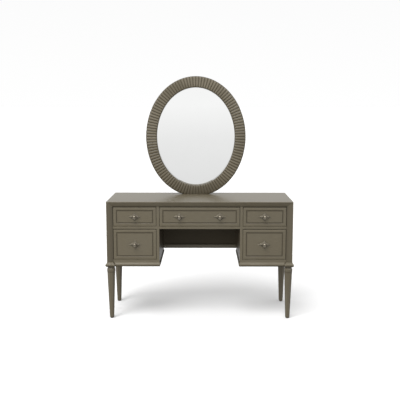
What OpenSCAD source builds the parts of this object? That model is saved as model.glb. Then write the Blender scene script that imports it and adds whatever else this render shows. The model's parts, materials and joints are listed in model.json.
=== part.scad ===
// Kneehole vanity table with five drawers and an upright oval mirror.
// Origin: centre of the footprint at floor level. +Z is up and the drawers open towards -Y.

/* [Desk] */
// Overall width of the case
desk_w = 1220; // [1100:10:1500]
// Depth from the front of the posts to the back edge of the top
desk_d = 480; // [440:5:600]
// Height of the top surface above the floor
desk_h = 785; // [740:5:820]
// Height of the underside of the pedestals above the floor
leg_h = 357; // [320:1:400]
// Width of each pedestal, from the outer side to the kneehole
pedestal_w = 345; // [300:5:400]
// How far the rear legs' centres stand in from the back edge of the top
rear_leg_inset = 62; // [40:1:90]

/* [Case] */
// Thickness of the side panels and the inner panels
panel_t = 18; // [15:1:22]
// Thickness of the top panel
top_t = 20; // [16:1:24]
// Thickness of the drawer dividers and the pedestal bottoms
divider_t = 16; // [12:1:20]
// Thickness of the back panel
back_t = 8; // [5:1:10]
// Overhang of the top behind the back panel
top_overhang = 6; // [0:1:20]
// Height of the low rail along the bottom of the kneehole's back
kneehole_rail_h = 25; // [15:1:40]
// Thickness of that rail
kneehole_rail_t = 12; // [8:1:20]
// Height of the kneehole's back panel above the underside of the pedestals
kneehole_lift = 26; // [5:1:30]

/* [Surround] */
// Width of the front posts
post_w = 41; // [36:1:50]
// Depth of the front posts, from front to back
post_d = 48; // [44:1:52]
// Height of the rail across the front, under the edge of the top
rail_h = 34; // [24:1:40]
// Depth of that rail, from front to back
rail_d = 26; // [24:1:40]
// Depth of the drawer faces behind the front of the posts
recess = 15; // [8:1:18]
// Part of the surround's width that is a flat lip before the bevel starts
lip_part = 0.15; // [0.05:0.05:0.5]

/* [Mouldings] */
// How far the base moulding stands out
moulding_out = 9.5; // [5:0.5:12]
// How far its inner return stands out into the kneehole
return_out = 6; // [3:0.5:9]
// Height of the base moulding
moulding_h = 30; // [20:1:36]
// How far the moulding hangs below the pedestal
moulding_drop = 4; // [0:0.5:6]

/* [Legs] */
// How far the legs' centres stand in from the sides
leg_inset = 24; // [22:1:40]
// Width of a leg across its flats, just under the collar
leg_top_w = 50; // [40:1:52]
// Width of a leg across its flats at the foot
leg_foot_w = 28; // [24:1:36]
// Width of the collar across its flats
collar_w = 52; // [46:1:58]
// Height of the collar
collar_h = 20; // [10:1:26]
// Width of the neck between the collar and the pedestal
neck_w = 46; // [38:1:50]
// Height of the neck
neck_h = 16; // [4:1:20]
// Height of a leg glide
glide_h = 4; // [2:0.5:8]
// Radius of a leg glide
glide_r = 10; // [6:0.5:12]

/* [Drawers] */
// Height of the opening of the upper drawers
upper_h = 131; // [110:1:150]
// Gap at each side of an inset drawer front
front_gap = 2.5; // [1.5:0.5:4]
// Gap under a drawer front
front_low_gap = 1.5; // [1.5:0.5:4]
// Gap above a drawer front
front_high_gap = 4; // [1.5:0.5:6]
// Thickness of a drawer front
front_t = 20; // [16:1:24]
// Width of the raised border on a drawer front
border_w = 20; // [12:1:26]
// Width of the groove inside the border
groove_w = 6; // [3:0.5:8]
// Depth of the groove
groove_d = 3; // [1:0.5:5]
// Gap between a drawer box and its opening, at each side and below
box_gap = 1.5; // [1:0.5:3]
// Room above a drawer box
box_headroom = 22; // [10:1:40]
// Length of a drawer box behind its front
box_l = 400; // [300:10:420]
// Thickness of the drawer sides and backs
box_t = 12; // [9:1:15]
// Thickness of the drawer bottoms
bottom_t = 6; // [4:1:9]
// Height of a drawer bottom above the lower edge of its sides
bottom_lift = 8; // [6:1:14]

/* [Pulls] */
// Length of the lozenge plate
plate_l = 80; // [60:1:90]
// Height of the lozenge plate
plate_h = 58; // [36:1:64]
// Thickness of the plate
plate_t = 4; // [2:0.5:6]
// How far the plate's sides curve in
plate_hollow = 3; // [1:0.5:8]
// How far the knob stands out from the drawer face
knob_out = 34; // [24:1:40]
// Radius of the knob
knob_r = 14; // [10:0.5:16]
// Radius of the knob's neck
knob_neck_r = 6; // [4:0.5:8]
// Radius of the screw that holds the pull
pull_screw_r = 2; // [1.5:0.25:2.5]

/* [Mirror] */
// Width of the oval frame
mirror_w = 696; // [500:2:900]
// Height that the oval would have without its flat foot
mirror_h = 836; // [600:2:1000]
// Height cut off the oval to make the flat foot
mirror_cut = 14; // [8:1:20]
// Width of the frame's face
mirror_face_w = 76; // [50:1:90]
// Thickness of the frame
mirror_t = 30; // [24:1:40]
// Distance of the glass behind the frame's face
glass_set_back = 12; // [6:1:16]
// Thickness of the glass
glass_t = 5; // [3:1:6]
// Thickness of the backing board
backing_t = 9; // [6:1:12]
// Width of the rabbet that holds the glass
rabbet_w = 12; // [8:1:16]
// Sideways place of the mirror, measured from the middle of the desk
mirror_x = -29; // [-150:1:150]
// Distance of the mirror's face behind the front of the posts
mirror_y = 385; // [300:5:395]

/* [Mirror brackets] */
// Distance of each bracket from the middle of the mirror
bracket_x = 75; // [50:5:90]
// Width of the bracket's steel strip
bracket_w = 40; // [25:5:50]
// Thickness of the strip
bracket_t = 5; // [3:1:6]
// Height of the bracket behind the mirror
bracket_h = 420; // [200:10:500]
// Length of its foot on the top
bracket_foot = 55; // [40:5:60]
// Radius of the bracket screws
bracket_screw_r = 2; // [1.5:0.25:2.5]

/* [Hidden] */
$fn = 48;
OVAL_STEPS = 144;
WIDE = 3000;
SCREW_ROOM = 0.1;

greige = [0.45, 0.41, 0.34];
pale_wood = [0.78, 0.66, 0.50];
pewter = [0.66, 0.61, 0.52];
silver = [0.85, 0.87, 0.88];
dark_board = [0.20, 0.19, 0.18];
dark_steel = [0.16, 0.16, 0.17];

// The knobs reach past the posts, so the desk moves back to keep its outline centred on Y = 0.
knob_past_post = knob_out - recess;
front_y = -(desk_d - knob_past_post) / 2;
back_y = front_y + desk_d;
face_y = front_y + recess;
panel_back_y = back_y - top_overhang;
back_front_y = panel_back_y - back_t;

side_x = desk_w / 2;
post_x = side_x - post_w;
inner_x = side_x - pedestal_w;
bay_x = inner_x + panel_t;

soffit_z = desk_h - rail_h;
top_z = desk_h - top_t;
upper_z = soffit_z - upper_h;
bottom_z = leg_h + moulding_h - moulding_drop;
lower_z = bottom_z + divider_t;
lower_top_z = upper_z - divider_t;
kneehole_z = leg_h + kneehole_lift;
leg_x = side_x - leg_inset;

mirror_face_y = front_y + mirror_y;
mirror_back_y = mirror_face_y + mirror_t;
mirror_z = desk_h + mirror_h / 2 - mirror_cut;

// Each drawer: name, left edge, right edge, lower edge and upper edge of its opening, places of its pulls.
side_bay_mid = (bay_x + post_x) / 2;
DRAWERS = [
    ["upper_left", -post_x, -bay_x, upper_z, soffit_z, [-side_bay_mid]],
    ["center", -inner_x, inner_x, upper_z, soffit_z, [-inner_x / 2, inner_x / 2]],
    ["upper_right", bay_x, post_x, upper_z, soffit_z, [side_bay_mid]],
    ["lower_left", -post_x, -bay_x, lower_z, lower_top_z, [-side_bay_mid]],
    ["lower_right", bay_x, post_x, lower_z, lower_top_z, [side_bay_mid]]
];
DRAWER_PIECES = ["front", "side_left", "side_right", "back", "bottom", "pull"];
CASE_NODES = [
    "top_panel", "top_rail", "front_leg_left", "front_leg_right", "rear_leg_left", "rear_leg_right",
    "side_panel_left", "side_panel_right", "inner_panel_left", "inner_panel_right",
    "back_panel", "kneehole_rail", "divider_left", "divider_center", "divider_right",
    "bottom_panel_left", "bottom_panel_right", "post_cap_left", "post_cap_right",
    "base_moulding_left", "base_moulding_right", "drawer_guides", "leg_glides"
];
MIRROR_NODES = [
    "mirror_frame", "mirror_glass", "mirror_backing",
    "mirror_bracket_left", "mirror_bracket_right", "bracket_screws"
];

// ---- Shared shapes ----

// A block between two opposite corners.
module block(x, y, z) {
    translate([x[0], y[0], z[0]])
        cube([x[1] - x[0], y[1] - y[0], z[1] - z[0]]);
}

// The left-hand copy of a right-hand piece.
module left() {
    mirror([1, 0, 0])
        children();
}

// An outline drawn in X and Z, extruded along Y from y0 to y1.
module along_y(y0, y1) {
    translate([0, y1, 0])
        rotate([90, 0, 0])
            linear_extrude(y1 - y0)
                children();
}

// An outline drawn in Y and Z, extruded along X from x0 to x1.
module along_x(x0, x1) {
    translate([x0, 0, 0])
        rotate([90, 0, 90])
            linear_extrude(x1 - x0)
                children();
}

// A solid with eight flat sides whose half-width at each height follows the points [half-width, height].
module eight_sided(points) {
    corner = 1 / cos(180 / 8);
    low = points[0][1];
    high = points[len(points) - 1][1];
    rotate([0, 0, 180 / 8])
        rotate_extrude($fn = 8)
            polygon(concat([[0, low]], [for (p = points) [p[0] * corner, p[1]]], [[0, high]]));
}

// The base moulding's section: an undercut, a fillet and a cove above it. First number is outwards.
function moulding_points(out) = [
    [0, 0], [out * 0.35, 0], [out, moulding_h * 0.23], [out, moulding_h * 0.5],
    [out * 0.5, moulding_h * 0.62], [out * 0.2, moulding_h * 0.77], [0, moulding_h]
];

// An oval that is smaller than the mirror's outline by inset on every side.
function oval_points(inset) = [
    for (i = [0:OVAL_STEPS - 1])
        let (turn = 360 * i / OVAL_STEPS)
            [(mirror_w / 2 - inset) * cos(turn), (mirror_h / 2 - inset) * sin(turn)]
];

// A flat oval plate from y0 to y1, upright behind the mirror's face.
module oval_plate(inset, y0, y1) {
    translate([mirror_x, mirror_face_y, mirror_z])
        along_y(y0, y1)
            polygon(oval_points(inset));
}

// ---- Case ----

module top_panel() {
    color(greige)
        difference() {
            block([-side_x, side_x], [front_y + rail_d, back_y], [top_z, desk_h]);
            foot_screws(bracket_screw_r + SCREW_ROOM);
        }
}

// The rail's ends are mitred to the posts, and its bevel runs on down them.
module top_rail() {
    lip_h = rail_h * lip_part;
    color(greige)
        intersection() {
            along_y(front_y, front_y + rail_d)
                polygon([
                    [-side_x, desk_h], [side_x, desk_h], [post_x, soffit_z], [-post_x, soffit_z]
                ]);
            along_x(-side_x, side_x)
                polygon([
                    [front_y, desk_h], [front_y + rail_d, desk_h], [front_y + rail_d, soffit_z],
                    [face_y, soffit_z], [front_y, desk_h - lip_h]
                ]);
        }
}

// Plan of the post: a rectangle with a bevel that slopes back from the lip to the drawer faces.
module post_outline() {
    lip_w = post_w * lip_part;
    polygon([
        [post_x, face_y], [side_x - lip_w, front_y], [side_x, front_y],
        [side_x, front_y + post_d], [post_x, front_y + post_d]
    ]);
}

// Half-width and height down a leg: foot, taper, collar, neck.
module leg_shaft() {
    collar_z = leg_h - neck_h - collar_h;
    eight_sided([
        [leg_foot_w / 2 - 1, glide_h], [leg_foot_w / 2, glide_h + 8],
        [leg_top_w / 2, collar_z - 3], [collar_w / 2, collar_z],
        [collar_w / 2, collar_z + collar_h - 4], [neck_w / 2, collar_z + collar_h],
        [neck_w / 2, leg_h]
    ]);
}

module front_leg_right() {
    mitre_back_y = front_y + rail_d;
    color(greige) {
        difference() {
            translate([0, 0, leg_h])
                linear_extrude(desk_h - leg_h)
                    post_outline();
            along_y(front_y - 1, mitre_back_y)
                polygon([
                    [post_x - 1, soffit_z - rail_h / post_w], [side_x, desk_h], [post_x - 1, desk_h + 1]
                ]);
            block([post_x - 1, side_x + 1], [mitre_back_y, back_y], [top_z, desk_h + 1]);
        }
        translate([leg_x, front_y + post_d / 2, 0])
            leg_shaft();
    }
}

// A block on top of the leg fills the corner under the pedestal's bottom panel.
module rear_leg_right() {
    leg_y = back_y - rear_leg_inset;
    color(greige) {
        translate([leg_x, leg_y, 0])
            leg_shaft();
        block(
            [leg_x - neck_w / 2, side_x - panel_t],
            [leg_y - neck_w / 2, leg_y + neck_w / 2],
            [leg_h, bottom_z]
        );
    }
}

module side_panel_right() {
    color(greige)
        block([side_x - panel_t, side_x], [front_y + post_d, panel_back_y], [leg_h, top_z]);
}

module inner_panel_right() {
    color(greige) {
        block([inner_x, bay_x], [face_y, back_front_y], [leg_h, soffit_z]);
        block([inner_x, bay_x], [front_y + rail_d, back_front_y], [soffit_z, top_z]);
    }
}

module back_panel() {
    in_x = side_x - panel_t;
    color(greige)
        block([-in_x, in_x], [back_front_y, panel_back_y], [kneehole_z, top_z]);
}

module kneehole_rail() {
    y = [back_front_y - kneehole_rail_t, back_front_y];
    color(greige)
        block([-inner_x, inner_x], y, [kneehole_z, kneehole_z + kneehole_rail_h]);
}

// A shelf across the right pedestal, notched round the post.
module pedestal_shelf(z) {
    color(greige)
        difference() {
            block([bay_x, side_x - panel_t], [face_y, back_front_y], [z, z + divider_t]);
            block([post_x, side_x], [front_y, front_y + post_d], [z - 1, z + divider_t + 1]);
        }
}

module divider_center() {
    color(greige)
        block([-inner_x, inner_x], [face_y, back_front_y], [lower_top_z, upper_z]);
}

// A moulding round the post, open behind and stopped at the drawer faces.
module post_cap_right() {
    z = leg_h - moulding_drop;
    points = moulding_points(moulding_out);
    color(greige)
        intersection() {
            difference() {
                along_y(front_y - moulding_out, front_y + post_d)
                    polygon(concat(
                        [for (p = points) [side_x + p[0], z + p[1]]],
                        [for (i = [len(points) - 1:-1:0]) [post_x - points[i][0], z + points[i][1]]]
                    ));
                translate([0, 0, z - 1])
                    linear_extrude(moulding_h + 2)
                        post_outline();
                block([leg_x - neck_w / 2, side_x], [front_y, front_y + post_d], [z - 1, leg_h]);
                block([inner_x, post_x], [face_y, back_y], [z - 1, z + moulding_h + 1]);
            }
            along_x(inner_x, side_x + moulding_out)
                polygon(concat(
                    [for (p = points) [front_y - p[0], z + p[1]]],
                    [[front_y + post_d, z + moulding_h], [front_y + post_d, z]]
                ));
        }
}

// Front, kneehole and outer lengths of moulding. The front one is backed by a rail under the bottom panel.
module base_moulding_right() {
    z = leg_h - moulding_drop;
    front_points = moulding_points(moulding_out);
    color(greige) {
        union() {
            intersection() {
                along_x(inner_x - return_out, side_x)
                    polygon([for (p = front_points) [face_y - p[0], z + p[1]]]);
                translate([0, 0, z])
                    linear_extrude(moulding_h)
                        polygon([
                            [inner_x, face_y], [inner_x - return_out, face_y - moulding_out],
                            [post_x - moulding_out, face_y - moulding_out], [post_x - moulding_out, face_y]
                        ]);
            }
            block([bay_x, post_x], [face_y, face_y + panel_t], [leg_h, bottom_z]);
        }
        intersection() {
            along_y(face_y - moulding_out, back_front_y)
                polygon([for (p = moulding_points(return_out)) [inner_x - p[0], z + p[1]]]);
            translate([0, 0, z])
                linear_extrude(moulding_h)
                    polygon([
                        [inner_x, face_y], [inner_x, back_front_y],
                        [inner_x - return_out, back_front_y], [inner_x - return_out, face_y - moulding_out]
                    ]);
        }
        along_y(front_y + post_d, panel_back_y)
            polygon([for (p = front_points) [side_x + p[0], z + p[1]]]);
    }
}

// Strips that carry on the line of the post's inner face beside each pedestal drawer.
module drawer_guides() {
    color(pale_wood)
        for (side = [0, 1], z = [lower_z, upper_z])
            mirror([side, 0, 0])
                block([post_x, side_x - panel_t], [front_y + post_d, back_front_y], [z, z + 20]);
}

module leg_glides() {
    color(dark_board)
        for (side = [-1, 1], y = [front_y + post_d / 2, back_y - rear_leg_inset])
            translate([side * leg_x, y, 0])
                cylinder(h = glide_h, r = glide_r);
}

// ---- Mirror ----

module mirror_frame() {
    color(greige)
        difference() {
            oval_plate(0, 0, mirror_t);
            oval_plate(mirror_face_w, -1, mirror_t);
            oval_plate(mirror_face_w - rabbet_w, glass_set_back, mirror_t + 1);
            block([-side_x, side_x], [front_y, back_y], [0, desk_h]);
            frame_screws(bracket_screw_r + SCREW_ROOM);
        }
}

module mirror_glass() {
    color(silver)
        oval_plate(mirror_face_w - rabbet_w, glass_set_back, glass_set_back + glass_t);
}

module mirror_backing() {
    y = glass_set_back + glass_t;
    color(dark_board)
        difference() {
            oval_plate(mirror_face_w - rabbet_w, y, y + backing_t);
            frame_screws(bracket_screw_r + SCREW_ROOM);
        }
}

// Children are copied to both brackets' middles, behind the mirror at the level of the top.
module at_brackets() {
    for (side = [-1, 1])
        translate([mirror_x + side * bracket_x, mirror_back_y, desk_h])
            children();
}

frame_screw_z = [30, 55];
foot_screw_y = [22, 42];
screw_l = 14;

// Shanks of the screws that go forwards into the mirror's frame.
module frame_screws(r) {
    at_brackets()
        for (z = frame_screw_z)
            translate([0, -screw_l, z])
                rotate([-90, 0, 0])
                    cylinder(h = screw_l + bracket_t + 1, r = r);
}

// Shanks of the screws that go down into the top.
module foot_screws(r) {
    at_brackets()
        for (y = foot_screw_y)
            translate([0, y, -screw_l])
                cylinder(h = screw_l + bracket_t + 1, r = r);
}

// An upright strip against the mirror's back, bent back at the bottom into a foot.
module mirror_bracket(side) {
    x = mirror_x + side * bracket_x;
    color(dark_steel)
        difference() {
            translate([x - bracket_w / 2, mirror_back_y, desk_h])
                union() {
                    cube([bracket_w, bracket_t, bracket_h]);
                    cube([bracket_w, bracket_foot, bracket_t]);
                }
            frame_screws(bracket_screw_r + 0.5);
            foot_screws(bracket_screw_r + 0.5);
        }
}

module bracket_screws() {
    head_r = bracket_screw_r * 2.2;
    head_h = bracket_screw_r * 1.2;
    color(silver)
        at_brackets() {
            for (z = frame_screw_z)
                translate([0, 0, z])
                    rotate([-90, 0, 0]) {
                        translate([0, 0, -screw_l])
                            cylinder(h = screw_l + bracket_t, r = bracket_screw_r);
                        translate([0, 0, bracket_t])
                            cylinder(h = head_h, r = head_r);
                    }
            for (y = foot_screw_y)
                translate([0, y, 0]) {
                    translate([0, 0, -screw_l])
                        cylinder(h = screw_l + bracket_t, r = bracket_screw_r);
                    translate([0, 0, bracket_t])
                        cylinder(h = head_h, r = head_r);
                }
        }
}

// ---- Drawers ----

function front_z(d) = [d[3] + front_low_gap, d[4] - front_high_gap];

// Places its children with X at the pull, Y = 0 on the drawer face and Z at the middle of the front.
module at_pulls(d) {
    for (x = d[5])
        translate([x, face_y, (front_z(d)[0] + front_z(d)[1]) / 2])
            children();
}

function box_x(d) = [d[1] + box_gap, d[2] - box_gap];
function box_z(d) = [d[3] + box_gap, d[4] - box_headroom];
box_y = [face_y + front_t, face_y + front_t + box_l];

module drawer_front(d) {
    x = [d[1] + front_gap, d[2] - front_gap];
    z = front_z(d);
    outer = border_w;
    inner = border_w + groove_w;
    color(greige)
        difference() {
            block(x, [face_y, face_y + front_t], z);
            difference() {
                block(
                    [x[0] + outer, x[1] - outer],
                    [face_y - 1, face_y + groove_d],
                    [z[0] + outer, z[1] - outer]
                );
                block(
                    [x[0] + inner, x[1] - inner],
                    [face_y - 2, face_y + groove_d + 1],
                    [z[0] + inner, z[1] - inner]
                );
            }
            at_pulls(d)
                rotate([-90, 0, 0])
                    cylinder(h = front_t + 1, r = pull_screw_r + 0.3);
        }
}

// A drawer side, with the groove that holds the bottom.
module drawer_side(d, side) {
    x = box_x(d);
    z = box_z(d);
    edge = side < 0 ? [x[0], x[0] + box_t] : [x[1] - box_t, x[1]];
    color(pale_wood)
        difference() {
            block(edge, box_y, z);
            drawer_bottom_block(d);
        }
}

module drawer_back(d) {
    x = box_x(d);
    z = box_z(d);
    color(pale_wood)
        block(
            [x[0] + box_t, x[1] - box_t],
            [box_y[1] - box_t, box_y[1]],
            [z[0] + bottom_lift + bottom_t, z[1]]
        );
}

// The bottom slides in under the back and sits in the sides' grooves.
module drawer_bottom_block(d) {
    x = box_x(d);
    z = box_z(d)[0] + bottom_lift;
    block([x[0] + box_t / 2, x[1] - box_t / 2], box_y, [z, z + bottom_t]);
}

module drawer_bottom(d) {
    color(pale_wood)
        drawer_bottom_block(d);
}

// A quarter of the lozenge's outline: an arc that curves in between two of its points.
function hollow_side(from, to) = [
    for (i = [0:5])
        let (t = i / 6, bow = plate_hollow * sin(180 * t))
            [
                from[0] + (to[0] - from[0]) * t - bow * sign(from[0] + to[0]),
                from[1] + (to[1] - from[1]) * t - bow * sign(from[1] + to[1])
            ]
];

function lozenge_points() =
    let (tips = [[plate_l / 2, 0], [0, plate_h / 2], [-plate_l / 2, 0], [0, -plate_h / 2]])
        [for (i = [0:3]) each hollow_side(tips[i], tips[(i + 1) % 4])];

// The knob's outline from its neck to its domed front: radius and height.
module knob_outline() {
    dome_h = knob_out - plate_t - 16;
    polygon(concat(
        [[0, 0], [knob_neck_r + 3, 0], [knob_neck_r, 3], [knob_neck_r, 10], [knob_r, 16]],
        [for (turn = [15:15:90]) [knob_r * cos(turn), 16 + dome_h * sin(turn)]]
    ));
}

// Plate, neck and knob are one casting with a blind hole for the screw.
module drawer_pull(d) {
    hole_l = plate_t + 12;
    head_r = pull_screw_r * 2.2;
    head_h = pull_screw_r * 1.2;
    at_pulls(d) {
        color(pewter)
            difference() {
                union() {
                    along_y(-plate_t, 0)
                        polygon(lozenge_points());
                    translate([0, -plate_t, 0])
                        rotate([90, 0, 0])
                            rotate_extrude()
                                knob_outline();
                }
                translate([0, -hole_l, 0])
                    rotate([-90, 0, 0])
                        cylinder(h = hole_l + 1, r = pull_screw_r + SCREW_ROOM);
            }
        color(silver)
            rotate([-90, 0, 0]) {
                translate([0, 0, 1 - hole_l])
                    cylinder(h = hole_l - 1 + front_t, r = pull_screw_r);
                translate([0, 0, front_t])
                    cylinder(h = head_h, r = head_r);
            }
    }
}

// ---- Pieces ----

top_panel();
top_rail();
left() front_leg_right();  // front_leg_left
front_leg_right();
left() rear_leg_right();  // rear_leg_left
rear_leg_right();
left() side_panel_right();  // side_panel_left
side_panel_right();
left() inner_panel_right();  // inner_panel_left
inner_panel_right();
back_panel();
kneehole_rail();
left() pedestal_shelf(lower_top_z);  // divider_left
divider_center();
pedestal_shelf(lower_top_z);  // divider_right
left() pedestal_shelf(bottom_z);  // bottom_panel_left
pedestal_shelf(bottom_z);  // bottom_panel_right
left() post_cap_right();  // post_cap_left
post_cap_right();
left() base_moulding_right();  // base_moulding_left
base_moulding_right();
drawer_guides();
leg_glides();
mirror_frame();
mirror_glass();
mirror_backing();
mirror_bracket(-1);  // mirror_bracket_left
mirror_bracket(1);  // mirror_bracket_right
bracket_screws();
for (d = DRAWERS) {
    drawer_front(d);
    drawer_side(d, -1);
    drawer_side(d, 1);
    drawer_back(d);
    drawer_bottom(d);
    drawer_pull(d);
}
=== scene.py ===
"""Looks of a kneehole vanity table with five drawers and an oval mirror.

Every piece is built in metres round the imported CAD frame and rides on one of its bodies.
X runs to the right, the drawers open towards -Y, and Z = 0 is the floor.
"""
import json
import math

import bmesh
import bpy
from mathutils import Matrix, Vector

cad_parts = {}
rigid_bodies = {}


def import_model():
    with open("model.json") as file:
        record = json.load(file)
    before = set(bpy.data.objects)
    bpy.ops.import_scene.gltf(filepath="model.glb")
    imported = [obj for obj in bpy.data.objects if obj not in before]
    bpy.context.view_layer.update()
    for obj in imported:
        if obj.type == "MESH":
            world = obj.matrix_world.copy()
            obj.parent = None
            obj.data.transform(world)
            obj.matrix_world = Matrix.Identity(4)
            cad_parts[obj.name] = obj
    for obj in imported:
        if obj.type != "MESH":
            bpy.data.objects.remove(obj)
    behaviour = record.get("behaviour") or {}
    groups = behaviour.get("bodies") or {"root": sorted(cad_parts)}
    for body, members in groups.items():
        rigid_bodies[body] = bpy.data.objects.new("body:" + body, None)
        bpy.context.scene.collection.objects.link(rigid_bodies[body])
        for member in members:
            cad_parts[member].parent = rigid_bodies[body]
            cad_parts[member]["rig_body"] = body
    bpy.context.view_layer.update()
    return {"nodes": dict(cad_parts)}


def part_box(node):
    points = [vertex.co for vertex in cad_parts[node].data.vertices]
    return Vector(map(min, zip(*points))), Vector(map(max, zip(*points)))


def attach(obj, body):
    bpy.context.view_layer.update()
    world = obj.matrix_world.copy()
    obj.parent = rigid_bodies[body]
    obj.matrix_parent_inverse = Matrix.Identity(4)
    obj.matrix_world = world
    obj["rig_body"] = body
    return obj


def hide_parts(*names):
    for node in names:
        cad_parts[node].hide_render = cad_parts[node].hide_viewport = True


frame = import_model()

MM = 0.001
SIDES = ("left", "right")
DRAWERS = ("upper_left", "center", "upper_right", "lower_left", "lower_right")


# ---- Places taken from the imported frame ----

def low(node):
    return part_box(node)[0]


def high(node):
    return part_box(node)[1]


def middle(node):
    return (low(node) + high(node)) / 2


SIDE_X = high("side_panel_right").x
FRONT_Y = low("top_rail").y
RAIL_BACK_Y = high("top_rail").y
POST_BACK_Y = low("side_panel_right").y
FACE_Y = low("center_front").y
TOP_Z = high("top_panel").z
UNDER_TOP_Z = low("top_panel").z
SOFFIT_Z = low("top_rail").z
LEG_Z = low("side_panel_right").z
BACK_Y = high("back_panel").y
FRONT_GAP = 2.5 * MM  # between a drawer's front and the case beside it
POST_X = high("upper_right_front").x + FRONT_GAP
POST_W = SIDE_X - POST_X
KNEEHOLE_X = low("inner_panel_right").x
MIRROR_FACE_Y = low("mirror_frame").y
MIRROR_MIDDLE = Vector((middle("mirror_frame").x, MIRROR_FACE_Y, middle("mirror_glass").z))
OVAL_A = high("mirror_frame").x - MIRROR_MIDDLE.x
OVAL_B = high("mirror_frame").z - MIRROR_MIDDLE.z
GLASS_INSET = OVAL_A - (high("mirror_glass").x - MIRROR_MIDDLE.x)


# ---- Materials ----

def material(name, **uniform):
    """A new material, its node tree and its shader, with numbers that are the same all over."""
    made = bpy.data.materials.new(name)
    made.use_nodes = True
    shader = made.node_tree.nodes["Principled BSDF"]
    for socket, value in uniform.items():
        shader.inputs[socket.replace("_", " ")].default_value = value
    return made, made.node_tree, shader


def add(tree, kind, inputs=None, **settings):
    """A node whose inputs are numbers, colours or other nodes' outputs. Returns its first output."""
    made = tree.nodes.new(kind)
    for key, value in settings.items():
        setattr(made, key, value)
    for key, value in (inputs or {}).items():
        if isinstance(value, bpy.types.NodeSocket):
            tree.links.new(value, made.inputs[key])
        else:
            made.inputs[key].default_value = value
    return made.outputs[0]


def place_on_piece(tree, scale=(1, 1, 1)):
    """Each point's place on its piece at rest, stretched by scale."""
    place = tree.nodes.new("ShaderNodeTexCoord").outputs["Object"]
    return add(tree, "ShaderNodeMapping", {"Vector": place, "Scale": scale})


def noise(tree, place, scale, detail, roughness):
    inputs = {"Vector": place, "Scale": scale, "Detail": detail, "Roughness": roughness}
    return add(tree, "ShaderNodeTexNoise", inputs)


def spread(tree, value, low_in, high_in, low_out, high_out):
    """Maps a value from one range to another, held at both ends."""
    inputs = {"Value": value, 1: low_in, 2: high_in, 3: low_out, 4: high_out}
    return add(tree, "ShaderNodeMapRange", inputs)


def multiply(tree, a, b):
    return add(tree, "ShaderNodeMath", {0: a, 1: b}, operation="MULTIPLY")


def attribute(tree, name):
    """A number painted on the mesh, which is 0 where a piece doesn't have it."""
    made = tree.nodes.new("ShaderNodeAttribute")
    made.attribute_name = name
    return made.outputs["Fac"]


def mix_colour(tree, factor, a, b):
    made = tree.nodes.new("ShaderNodeMix")
    made.data_type = "RGBA"
    for socket, value in ((0, factor), (6, a), (7, b)):
        if isinstance(value, bpy.types.NodeSocket):
            tree.links.new(value, made.inputs[socket])
        else:
            made.inputs[socket].default_value = value
    return made.outputs[2]


def bump(tree, height, strength, distance, under=None):
    """Fine relief as a normal, on top of another one if given. The distance is in metres."""
    inputs = {"Height": height, "Strength": strength, "Distance": distance}
    if under:
        inputs["Normal"] = under
    return add(tree, "ShaderNodeBump", inputs)


def rgb(red, green, blue):
    return (red, green, blue, 1.0)


# How much the grain is squeezed along each axis, by the axis it runs along.
GRAIN_SCALE = {"x": (3, 60, 60), "y": (60, 3, 60), "z": (60, 60, 3)}


def lacquer(along):
    """Greige lacquer over close-grained wood, darker and duller where shade is painted on, paler on worn
    edges and painted highlights.
    """
    made, tree, shader = material("greige_lacquer_" + along, Specular_IOR_Level=0.5)
    grain_place = place_on_piece(tree, GRAIN_SCALE[along])
    plain_place = place_on_piece(tree)
    grain = noise(tree, grain_place, 9.0, 5.0, 0.62)
    pores = noise(tree, grain_place, 26.0, 2.0, 0.5)
    cloud = noise(tree, plain_place, 5.0, 3.0, 0.55)
    peel = noise(tree, plain_place, 420.0, 2.0, 0.5)
    streaks = spread(tree, grain, 0.3, 0.7, 0.0, 1.0)
    grained = mix_colour(tree, streaks, rgb(0.093, 0.077, 0.048), rgb(0.141, 0.120, 0.078))
    patches = spread(tree, cloud, 0.35, 0.65, 0.0, 0.35)
    clouded = mix_colour(tree, patches, grained, rgb(0.121, 0.106, 0.074))
    # Painted shade: the colour darkens towards near black where shade is painted on.
    glaze = attribute(tree, "glaze")
    painted_shade_colour = mix_colour(tree, multiply(tree, glaze, 0.85), clouded, rgb(0.044, 0.034, 0.018))
    # Paler where wear is painted on: worn edges, and the reeds' crests, where it is also a painted
    # highlight.
    wear_and_highlight_amount = multiply(tree, attribute(tree, "wear_and_highlight"), spread(tree, cloud, 0.4, 0.62, 0.1, 0.75))
    colour = mix_colour(tree, wear_and_highlight_amount, painted_shade_colour, rgb(0.265, 0.228, 0.165))
    tree.links.new(colour, shader.inputs["Base Color"])
    shine = spread(tree, grain, 0.3, 0.7, 0.33, 0.43)
    dulled = spread(tree, glaze, 0.8, 1.0, 0.3, 0.8)
    roughness = add(tree, "ShaderNodeMath", {0: shine, 1: dulled}, operation="MAXIMUM")
    tree.links.new(roughness, shader.inputs["Roughness"])
    fine = bump(tree, pores, 0.12, 0.0004)
    tree.links.new(bump(tree, peel, 0.05, 0.0002, fine), shader.inputs["Normal"])
    return made


def drawer_wood(along):
    """Pale, lightly sealed wood with fine streaks."""
    made, tree, shader = material("pale_wood_" + along)
    place = place_on_piece(tree, GRAIN_SCALE[along])
    rings = noise(tree, place, 1.6, 3.0, 0.5)
    streaks = noise(tree, place, 11.0, 5.0, 0.65)
    bands = spread(tree, rings, 0.35, 0.65, 0.0, 1.0)
    banded = mix_colour(tree, bands, rgb(0.50, 0.36, 0.21), rgb(0.60, 0.46, 0.29))
    dark_streaks = spread(tree, streaks, 0.5, 0.75, 0.0, 0.6)
    colour = mix_colour(tree, dark_streaks, banded, rgb(0.36, 0.235, 0.125))
    tree.links.new(colour, shader.inputs["Base Color"])
    tree.links.new(spread(tree, streaks, 0.3, 0.7, 0.48, 0.62), shader.inputs["Roughness"])
    tree.links.new(bump(tree, streaks, 0.15, 0.0004), shader.inputs["Normal"])
    return made


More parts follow.
